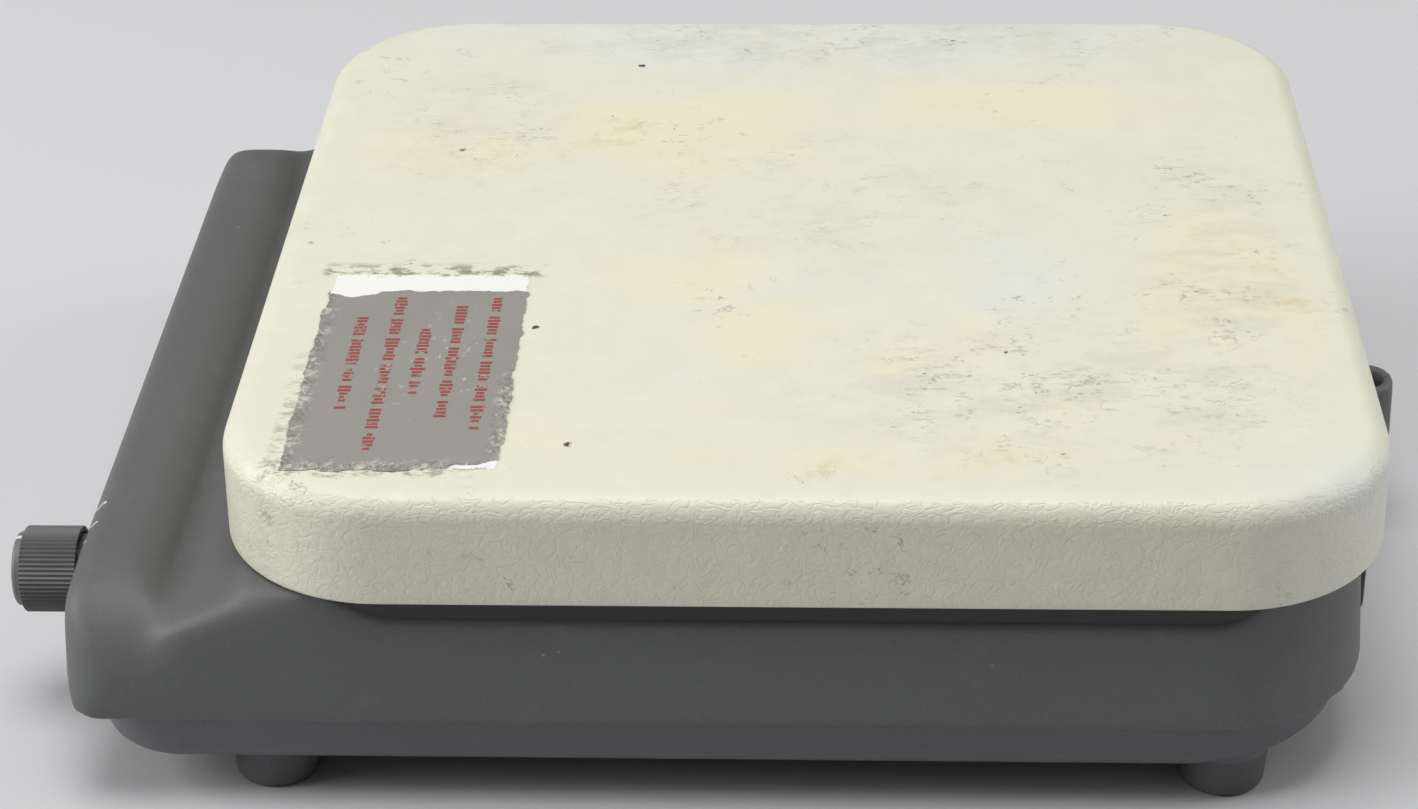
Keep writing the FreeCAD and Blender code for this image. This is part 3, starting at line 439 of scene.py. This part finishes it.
def foil(name):
    """Worn grey foil: bright flecks rubbed through to the backing, thickest along its edges."""
    f = Finish(name, 0.42, 0.25, 0.5)
    base = (0.375, 0.355, 0.325)
    color = f.mix(f.noise(14, detail=5.0), shade(base, 0.92), shade(base, 1.08))
    shard = f.step(f.noise(1.5, stretch=(0.7, 1.0, 1), detail=4.0, rough=0.65), 0.60, 0.63)
    rim = f.most(f.past("X", 78.5, 82.5), f.past("Y", -77, -80),
                 f.times(f.past("Y", -50, -47), f.past("X", 45, 60)))
    middle = f.times(f.patch(50, -60, 26, 13, 0.2), f.step(f.noise(9, detail=3.0), 0.44, 0.56))
    crumbs = f.step(f.noise(1.1, detail=4.0, rough=0.7, shift=(5, 5, 5)), 0.50, 0.56)
    crumbs = f.times(crumbs, rim, f.step(f.noise(5, detail=2.0), 0.42, 0.55))
    fleck = f.most(f.times(shard, f.most(middle, rim)), crumbs)
    color = f.mix(fleck, color, (0.68, 0.66, 0.58))
    line = f.off(f.noise(3.4, detail=5.0, rough=0.65, shift=(2, 2, 2)), 0.5)
    grime = f.times(f.step(line, 0.022, 0.008), rim)
    color = f.mix(f.times(grime, 0.6), color, (0.10, 0.09, 0.07))
    f.color(color)
    f.relief((f.noise(5, detail=3.0), 0.05), (fleck, -0.04), (f.noise(0.8, stretch=(1, 0.3, 1)), 0.015))
    return f.material


def torn_paper(name):
    """White backing with a little dirt at its torn edges."""
    f = Finish(name, 0.85, specular=0.2)
    grime = f.step(f.noise(2.4, detail=6.0, rough=0.72), 0.52, 0.64)
    edge = f.most(f.past("X", 20.2, 18.6), f.past("Y", -79, -80), f.past("X", 81.5, 82.5))
    color = f.mix(f.times(grime, edge), (0.82, 0.825, 0.79), (0.22, 0.19, 0.14))
    f.color(f.mix(f.times(f.step(f.noise(0.9, detail=4.0), 0.64, 0.70), 0.4), color, (0.45, 0.42, 0.34)))
    f.relief((f.noise(0.5, detail=4.0), 0.03))
    return f.material


def worn_ink(name):
    """Plain red print with gaps where it has rubbed away."""
    f = Finish(name, 0.6, specular=0.3)
    gap = f.step(f.noise(1.4, detail=5.0, rough=0.7), 0.57, 0.62)
    f.color(f.mix(gap, (0.30, 0.075, 0.06), (0.37, 0.33, 0.31)))
    f.relief((f.noise(0.8), 0.01))
    return f.material


def cap_plastic(name, base):
    """Satin cap: rings from turning its mould, and a pale index line pointing up."""
    f = Finish(name, 0.42)
    ring = f.tree.nodes.new("ShaderNodeTexWave")
    ring.wave_type = "RINGS"
    ring.rings_direction = "Y"
    ring.inputs["Scale"].default_value = 700.0
    f.tree.links.new(f.scaled((1, 1, 1), (-DIAL_X, 0, -DIAL_Z)), ring.inputs["Vector"])
    line = f.times(f.step(f.off(f.axis("X"), DIAL_X), 0.50 * MM, 0.42 * MM),
                   f.step(f.axis("Z"), DIAL_Z + 0.9 * MM, DIAL_Z + 1.1 * MM))
    tone = f.mix(f.noise(4, detail=4.0), shade(base, 0.9), shade(base, 1.12))
    f.color(f.mix(line, tone, (0.72, 0.72, 0.70)))
    f.relief((ring.outputs["Fac"], 0.006), (line, -0.08))
    return f.material


def glass_tube(name):
    f = Finish(name, 0.06)
    f.shader.inputs["Transmission Weight"].default_value = 0.9
    f.color(f.mix(f.noise(6), (0.86, 0.90, 0.90), (0.94, 0.96, 0.96)))
    f.relief((f.noise(4), 0.01))
    return f.material


def make_finishes():
    """One material for each slot of the record."""
    return {
        "plate_enamel": enamel(),
        "housing_paint": powder_coat("housing_paint", (0.115, 0.118, 0.116)),
        "tray_paint": powder_coat("tray_paint", (0.125, 0.128, 0.131)),
        "seal_rubber": moulded("seal_rubber", (0.055, 0.055, 0.057), 0.7, 0.5, 0.03, specular=0.3),
        "foot_rubber": moulded("foot_rubber", (0.115, 0.117, 0.120), 0.72, 0.6, 0.04,
                               specular=0.3, wear=0.3),
        "knob_plastic": moulded("knob_plastic", (0.115, 0.117, 0.119), 0.46, 0.5, 0.015, wear=0.25),
        "cap_plastic": cap_plastic("cap_plastic", (0.165, 0.168, 0.17)),
        "black_plastic": moulded("black_plastic", (0.022, 0.022, 0.024), 0.42, 0.6, 0.02),
        "foil_label": foil("foil_label"),
        "rating_foil": brushed("rating_foil", (0.62, 0.62, 0.62), 0.38, "X"),
        "zinc_screw": brushed("zinc_screw", (0.62, 0.62, 0.60), 0.30, "Z"),
        "black_screw": brushed("black_screw", (0.06, 0.06, 0.062), 0.36, "Z"),
        "sheet_steel": brushed("sheet_steel", (0.56, 0.57, 0.58), 0.36, "Y"),
        "lamination": laminated("lamination", (0.26, 0.26, 0.27)),
        "shaft_steel": brushed("shaft_steel", (0.68, 0.68, 0.69), 0.2, "Z"),
        "copper": brushed("copper", (0.78, 0.40, 0.24), 0.3, "X"),
        "enamelled_wire": winding("enamelled_wire", (0.42, 0.13, 0.045)),
        "bobbin_nylon": moulded("bobbin_nylon", (0.72, 0.69, 0.60), 0.45, 1.0, 0.02),
        "sintered_bronze": moulded("sintered_bronze", (0.50, 0.34, 0.18), 0.45, 0.25, 0.03, metal=0.9),
        "brass": brushed("brass", (0.76, 0.60, 0.30), 0.25, "Y"),
        "cast_aluminium": moulded("cast_aluminium", (0.62, 0.63, 0.64), 0.48, 0.7, 0.05, metal=0.9),
        "ferrite": moulded("ferrite", (0.045, 0.045, 0.048), 0.6, 0.3, 0.03, wear=0.3),
        "board": circuit_board("board", (0.022, 0.14, 0.055)),
        "grey_plastic": moulded("grey_plastic", (0.28, 0.30, 0.32), 0.4, 0.7, 0.02),
        "glass_tube": glass_tube("glass_tube"),
    }


# ---------------------------------------------------------------- mesh code

def mesh_from(name, verts, faces):
    mesh = bpy.data.meshes.new(name)
    mesh.from_pydata([tuple(v) for v in verts], [], faces)
    mesh.validate()
    mesh.polygons.foreach_set("use_smooth", [True] * len(mesh.polygons))
    mesh.update()
    return mesh


def outline(half, radius, per_corner=28, per_side=44):
    """A rounded square about the plate's middle, anticlockwise, with the same count at every size."""
    points = []
    inner = half - radius
    for quarter in range(4):
        start = quarter * math.pi / 2
        cx = inner * (1 if quarter in (0, 3) else -1)
        cy = inner * (1 if quarter in (0, 1) else -1)
        for k in range(per_corner + 1):
            angle = start + math.pi / 2 * k / per_corner
            points.append((cx + radius * math.cos(angle), cy + radius * math.sin(angle)))
        turn = start + math.pi / 2
        step = (-math.sin(turn), math.cos(turn))
        for k in range(1, per_side):
            reach = 2 * inner * k / per_side
            last = points[-k]
            points.append((last[0] + step[0] * reach, last[1] + step[1] * reach))
    return points


def stacked(rings, close=False):
    """Vertices and quads of rings of equal length joined in order; close fills both ends with a fan."""
    verts = [p for ring in rings for p in ring]
    count = len(rings[0])
    faces = []
    for level in range(len(rings) - 1):
        for k in range(count):
            a = level * count + k
            b = level * count + (k + 1) % count
            faces.append((a, b, b + count, a + count))
    if close:
        for level, flip in ((0, True), (len(rings) - 1, False)):
            base = level * count
            middle = len(verts)
            verts.append(tuple(sum(c) / count for c in zip(*rings[level])))
            for k in range(count):
                a, b = base + k, base + (k + 1) % count
                faces.append((b, a, middle) if flip else (a, b, middle))
    return verts, faces


def top_waviness(x, y):
    """Slow unevenness of the enamelled top, in metres."""
    return 0.07 * MM * noise.noise(Vector((x / 0.035, y / 0.035, 0.3)))


# The plate's plan corner, its rounded top edge, and its wall, with the small radii inside and at the lip.
PLATE_CORNER = 26.6 * MM
PLATE_EDGE = 4.0 * MM
PLATE_DRAFT = 0.2 * MM
PLATE_WALL = 3.0 * MM
LIP_ROUND = 0.6 * MM
INNER_ROUND = 2.0 * MM
# Room left over the enamel for its waves and the label.
TOP_ROOM = 0.16 * MM
# A boss under the plate, over each plate screw: (radius, height) corners in millimetres.
BOSS = [(5.0, -14.0), (5.0, 0.2), (1.7, 0.2), (1.7, -14.0)]
SCREW_HEAD_R = 3.6 * MM


def make_plate(finish):
    """The enamelled plate: a shallow cast cap, rounded over at the top, open below."""
    side = (PLATE_HIGH[0] - PLATE_LOW[0]) / 2
    low_z = PLATE_LOW[2]
    top = TOP_Z - TOP_ROOM
    ceiling = top - PLATE_WALL
    rings = []

    def ring(inset, z, wave=0.0):
        points = outline(side - inset, PLATE_CORNER - min(inset, PLATE_CORNER * 0.8))
        rings.append([(x, y + MIDDLE_Y, z + wave * top_waviness(x, y)) for x, y in points])

    def shrunk(inset, scale, z, wave):
        points = [(x * scale, y * scale) for x, y in outline(side - inset, PLATE_CORNER - inset)]
        rings.append([(x, y + MIDDLE_Y, z + wave * top_waviness(x, y)) for x, y in points])

    def turned(steps, first=0):
        """1 - sine and 1 - cosine of even steps through a right angle."""
        for k in range(first, steps + 1):
            angle = math.pi / 2 * k / steps
            yield 1 - math.sin(angle), 1 - math.cos(angle)

    inside = PLATE_WALL + 0.3 * MM
    for k in range(1, 6):
        shrunk(inside + INNER_ROUND, k / 5, ceiling, 0.0)
    for left, down in turned(6, 1):
        ring(inside + INNER_ROUND * left, ceiling - INNER_ROUND * down)
    ring(PLATE_WALL, low_z)
    for left, up in turned(4):
        ring(LIP_ROUND * left, low_z + LIP_ROUND * up)
    rise = top - PLATE_EDGE - low_z - LIP_ROUND
    for k in range(1, 9):
        share = k / 9
        ring(PLATE_DRAFT * share, low_z + LIP_ROUND + rise * share)
    for k, (left, inward) in enumerate(turned(12)):
        ring(PLATE_DRAFT + PLATE_EDGE * inward, top - PLATE_EDGE * left, k / 12)
    for k in range(1, 40):
        shrunk(PLATE_DRAFT + PLATE_EDGE, 1 - k / 40, top, 1.0)
    verts, faces = stacked(rings, close=True)
    post_x, _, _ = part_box("plate_screws")[1]
    reach = post_x - SCREW_HEAD_R
    for sx in (-1, 1):
        for sy in (-1, 1):
            boss_verts, boss_faces = lathe(BOSS, (sx * reach, MIDDLE_Y + sy * reach, ceiling))
            offset = len(verts)
            verts += boss_verts
            faces += [tuple(i + offset for i in face) for face in boss_faces]
    plate = add("plate_cap", mesh_from("plate_cap", verts, faces))
    plate.data.materials.append(finish)
    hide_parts("top_plate")
    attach(plate, "housing")
    return plate


def lathe(profile, place, count=48):
    """A closed ring turned from (radius, z) corners in millimetres about the vertical line at place."""
    turns = [2 * math.pi * k / count for k in range(count)]
    rings = []
    for radius, z in profile:
        rings.append([(place[0] + radius * MM * math.cos(turn),
                       place[1] + radius * MM * math.sin(turn), place[2] + z * MM) for turn in turns])
    verts, faces = stacked(rings)
    total = len(verts)
    last = total - count
    for k in range(count):
        n = (k + 1) % count
        faces.append((last + k, last + n, n, k))
    return verts, faces


def finished_mesh(piece):
    """The piece's own mesh with its modifiers or its text worked out."""
    return bpy.data.meshes.new_from_object(piece.evaluated_get(bpy.context.evaluated_depsgraph_get()))


def remeshed(node, name, voxel):
    """A copy of a CAD node's mesh as even cells of that size."""
    piece = add(name, NODES[node].data.copy())
    modifier = piece.modifiers.new("cells", "REMESH")
    modifier.mode = "VOXEL"
    modifier.voxel_size = voxel
    modifier.adaptivity = 0.0
    bpy.context.view_layer.update()
    mesh = finished_mesh(piece)
    mesh.name = name
    piece.modifiers.clear()
    piece.data = mesh
    return piece


def ease(value, low, high):
    """0 below low and 1 above high, for arrays."""
    share = np.clip((value - low) / (high - low), 0, 1)
    return share * share * (3 - 2 * share)


def soften(mesh, weight, rounds):
    """Moves each vertex towards the middle of its neighbours, as far as its weight says."""
    count = len(mesh.vertices)
    place = np.empty(count * 3)
    mesh.vertices.foreach_get("co", place)
    place = place.reshape(-1, 3)
    pairs = np.empty(len(mesh.edges) * 2, dtype=np.int64)
    mesh.edges.foreach_get("vertices", pairs)
    pairs = pairs.reshape(-1, 2)
    degree = np.bincount(pairs.ravel(), minlength=count)
    share = weight(place)[:, None]
    for _ in range(rounds):
        total = np.zeros_like(place)
        for axis in range(3):
            total[:, axis] = (np.bincount(pairs[:, 0], place[pairs[:, 1], axis], count)
                              + np.bincount(pairs[:, 1], place[pairs[:, 0], axis], count))
        place += share * (total / degree[:, None] - place)
    mesh.vertices.foreach_set("co", place.ravel())
    mesh.polygons.foreach_set("use_smooth", [True] * len(mesh.polygons))
    mesh.update()


CELL = 0.8 * MM
SOFT_ROUNDS = 60


def make_housing(finish):
    """The cast housing, with its ridge, channel and front corners softened as cast."""
    piece = remeshed("upper_housing", "housing_shell", CELL)

    def weight(place):
        x = np.abs(place[:, 0])
        y = place[:, 1] - MIDDLE_Y
        z = place[:, 2]
        front = ease(-y, 76 * MM, 84 * MM)
        ends = front * ease(x, 66 * MM, 80 * MM) * ease(z, 20 * MM, 25 * MM)
        lip = ease(-y, 112 * MM, 115 * MM) * (1 - ease(z, 18 * MM, 22 * MM))
        away = np.hypot(place[:, 0] - DIAL_X, z - DIAL_Z)
        seat = np.where(y < -108 * MM, ease(away, 7.5 * MM, 11 * MM), 1.0)
        return 0.03 + seat * (0.02 * front + 0.26 * ends + 0.16 * lip)

    soften(piece.data, weight, SOFT_ROUNDS)
    piece.data.materials.clear()
    piece.data.materials.append(finish)
    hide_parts("upper_housing")
    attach(piece, "housing")
    return piece


TORN_STEP = 0.3
# A peeled sheet has one corner cut off, by so much along X and Y, and its far edge curled back.
PEEL_CUT = (3.2, 11)
CURL_DEEP = 2.2
CURL_REACH = 4.0
CURL_AT = 4.5


def torn_sheet(name, x_range, y_range, z, thick, fray, seed, peel=False):
    """A thin sheet on the plate with a torn outline. Ranges are millimetres from the plate's middle."""
    x0, x1 = x_range
    y0, y1 = y_range
    corners = [(x0, y0), (x1, y0), (x1, y1), (x0, y1)]
    if peel:
        corners[2:3] = [(x1, y1 - PEEL_CUT[1]), (x1 - PEEL_CUT[0], y1)]
    points = []
    for k in range(len(corners)):
        a = Vector(corners[k])
        b = Vector(corners[(k + 1) % len(corners)])
        along = (b - a).normalized()
        out = Vector((along.y, -along.x))
        count = int((b - a).length / TORN_STEP)
        curled = peel and k == len(corners) - 1
        for i in range(count):
            p = a + along * (i * TORN_STEP)
            end = min(i, count - i) * TORN_STEP
            rough = noise.fractal(Vector((p.x / 2.2, p.y / 2.2, seed)), 0.8, 2.1, 5)
            bite = max(0.0, noise.noise(Vector((p.x / 3.4, p.y / 3.4, seed + 9))) - 0.22) * 2.6
            curl = CURL_DEEP * math.exp(-((p.y - y0 - CURL_AT) / CURL_REACH) ** 2) if curled else 0.0
            points.append(p + out * (fray * (rough - bite - 0.5 * math.exp(-end / 1.2)) - curl))
    form = bmesh.new()
    verts = [form.verts.new((p.x * MM, p.y * MM + MIDDLE_Y, z)) for p in points]
    face = form.faces.new(verts)
    grown = bmesh.ops.extrude_face_region(form, geom=[face])
    for item in grown["geom"]:
        if isinstance(item, bmesh.types.BMVert):
            item.co.z += thick
    bmesh.ops.recalc_face_normals(form, faces=form.faces[:])
    bmesh.ops.triangulate(form, faces=form.faces[:])
    mesh = bpy.data.meshes.new(name)
    form.to_mesh(mesh)
    form.free()
    return add(name, mesh)


LABEL_X = (24.6, 83.2)
LABEL_Y = (-80.5, -46.5)
BACKING_X = (18.6, 82.6)
BACKING_Y = (-79.9, -47.0)
# Rows of plain strokes: place across Y, then where the row starts and ends along X.
LABEL_ROWS = ((-51.5, 27, 71), (-57.2, 30, 68), (-62.4, 38, 60), (-67.6, 27, 78), (-73.4, 34, 65))
BAR_WIDE = 2.2
STROKE_WIDE = 0.74
STROKE_GAP = 0.34
WORD_GAP = 1.2
SHEET_THICK = 0.06 * MM
SHEET_GAP = 0.005 * MM
INK_GAP = 0.002 * MM
STROKE_THICK = 0.018 * MM


def add_bar(verts, faces, x_range, y_range, z_range):
    """A flat block with those ranges, in millimetres from the plate's middle across and metres up."""
    base = len(verts)
    for z in z_range:
        for x, y in ((0, 0), (1, 0), (1, 1), (0, 1)):
            verts.append((x_range[x] * MM, y_range[y] * MM + MIDDLE_Y, z))
    faces.append((base + 3, base + 2, base + 1, base))
    faces.append((base + 4, base + 5, base + 6, base + 7))
    for i in range(4):
        j = (i + 1) % 4
        faces.append((base + i, base + j, base + j + 4, base + i + 4))


def make_label(foil_finish):
    """The worn foil label, its torn backing, and rows of plain red strokes with gaps between groups."""
    floor = TOP_Z - TOP_ROOM + SHEET_GAP
    backing = torn_sheet("label_backing", BACKING_X, BACKING_Y, floor, SHEET_THICK, 0.3, 3.1)
    backing.data.materials.append(torn_paper("torn_paper"))
    foil_z = floor + SHEET_THICK + SHEET_GAP
    sheet = torn_sheet("label_foil", LABEL_X, LABEL_Y, foil_z, SHEET_THICK, 0.45, 11.7, peel=True)
    sheet.data.materials.append(foil_finish)
    verts = []
    faces = []
    ink_z = foil_z + SHEET_THICK + INK_GAP
    z_range = (ink_z, ink_z + STROKE_THICK)
    for row, (y, start, end) in enumerate(LABEL_ROWS):
        x = start
        k = 0
        while x < end:
            long = 5.0 + 13.0 * abs(noise.noise(Vector((row * 3.7, k * 2.9, 0.5))))
            stop = min(x + long, end)
            while x + STROKE_WIDE < stop:
                tall = BAR_WIDE * (0.78 + 0.5 * noise.noise(Vector((x * 1.7, y, 2.5))))
                add_bar(verts, faces, (x, x + STROKE_WIDE), (y - tall / 2, y + tall / 2), z_range)
                x += STROKE_WIDE + STROKE_GAP
            x += WORD_GAP
            k += 1
    bars = add("label_bars", mesh_from("label_bars", verts, faces))
    bars.data.polygons.foreach_set("use_smooth", [False] * len(bars.data.polygons))
    bars.data.materials.append(worn_ink("worn_ink"))
    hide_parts("plate_label")
    for piece in (backing, sheet, bars):
        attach(piece, "housing")


# The dial, in millimetres: ticks at equal angles from the pointer's rest, every fifth one longer.
TICKS = 11
TICK_TURN = 27
TICK_INNER = 7.9
TICK_OUTER = 8.8
LONG_TICK_OUTER = 9.2
TICK_HALF_WIDE = 0.22
TICK_CELLS = 4
INK_LIFT = 0.05 * MM
NUMERAL_SIZE = 2.6 * MM
# Each numeral: its angle, anticlockwise from the top, and its distance from the knob's axis.
NUMERALS = {"0": (34.0, 10.2), "10": (90.0, 11.4)}


def make_dial(housing):
    """Ticks clockwise from the pointer's rest through 270 degrees, with a 0 and a 10 at the ends."""
    tree = BVHTree.FromPolygons([v.co.copy() for v in housing.data.vertices],
                                [tuple(p.vertices) for p in housing.data.polygons])
    start_y = CAD_BOX[0][1] - 10 * MM

    def on_face(x, z, lift):
        hit = tree.ray_cast(Vector((x, start_y, z)), Vector((0, 1, 0)))[0]
        return Vector((x, hit.y - lift, z))

    form = bmesh.new()
    for k in range(TICKS):
        angle = math.radians(-TICK_TURN * k)
        out = Vector((-math.sin(angle), math.cos(angle)))
        side = Vector((out.y, -out.x))
        outer = TICK_OUTER if k % 5 else LONG_TICK_OUTER
        rows = []
        for i in range(TICK_CELLS + 1):
            r = TICK_INNER + (outer - TICK_INNER) * i / TICK_CELLS
            rows.append([out * r + side * TICK_HALF_WIDE * s for s in (-1, 1)])
        grid = [[form.verts.new(on_face(DIAL_X + p.x * MM, DIAL_Z + p.y * MM, lift)) for p in row]
                for row in rows for lift in (INK_LIFT, -INK_LIFT)]
        for i in range(TICK_CELLS):
            top_a, low_a, top_b, low_b = grid[2 * i:2 * i + 4]
            form.faces.new((top_a[0], top_a[1], top_b[1], top_b[0]))
            form.faces.new((low_a[1], low_a[0], low_b[0], low_b[1]))
            form.faces.new((top_a[0], top_b[0], low_b[0], low_a[0]))
            form.faces.new((top_b[1], top_a[1], low_a[1], low_b[1]))
        form.faces.new((grid[0][1], grid[0][0], grid[1][0], grid[1][1]))
        form.faces.new((grid[-2][0], grid[-2][1], grid[-1][1], grid[-1][0]))
    bmesh.ops.recalc_face_normals(form, faces=form.faces[:])
    mesh = bpy.data.meshes.new("dial_ticks")
    form.to_mesh(mesh)
    form.free()
    ticks = add("dial_ticks", mesh)
    ink = moulded("dial_ink", (0.72, 0.72, 0.69), 0.6, 0.6, 0.01, wear=0.3)
    ticks.data.materials.append(ink)
    pieces = [ticks]
    for word, (angle, reach) in NUMERALS.items():
        curve = bpy.data.curves.new("numeral", "FONT")
        curve.body = word
        curve.size = NUMERAL_SIZE
        curve.extrude = INK_LIFT
        curve.align_x = "CENTER"
        curve.align_y = "CENTER"
        holder = add("numeral", curve)
        bpy.context.view_layer.update()
        flat = finished_mesh(holder)
        bpy.data.objects.remove(holder)
        turn = math.radians(angle)
        cx = DIAL_X - math.sin(turn) * reach * MM
        cz = DIAL_Z + math.cos(turn) * reach * MM
        for vertex in flat.vertices:
            local = vertex.co.copy()
            face = on_face(cx + local.x, cz + local.y, 0.0)
            vertex.co = (face.x, face.y - local.z, face.z)
        flat.name = "dial_numeral_" + word
        numeral = add("dial_numeral_" + word, flat)
        numeral.data.materials.clear()
        numeral.data.materials.append(ink)
        pieces.append(numeral)
    for piece in pieces:
        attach(piece, "housing")


# ---------------------------------------------------------------- the scene

make_camera()
make_light()
floor_corners = [(x * FLOOR_HALF, y * FLOOR_HALF, 0) for x, y in ((-1, -1), (1, -1), (1, 1), (-1, 1))]
floor = add("floor", mesh_from("floor", floor_corners, [(0, 1, 2, 3)]))
floor.data.materials.append(paper_floor())

finishes = make_finishes()
for part in frame["record"]["subparts"]:
    node = NODES[part["node"]]
    node.data.materials.clear()
    node.data.materials.append(finishes[part["material_slot"]])

make_plate(finishes["plate_enamel"])
make_dial(make_housing(finishes["housing_paint"]))
make_label(finishes["foil_label"])
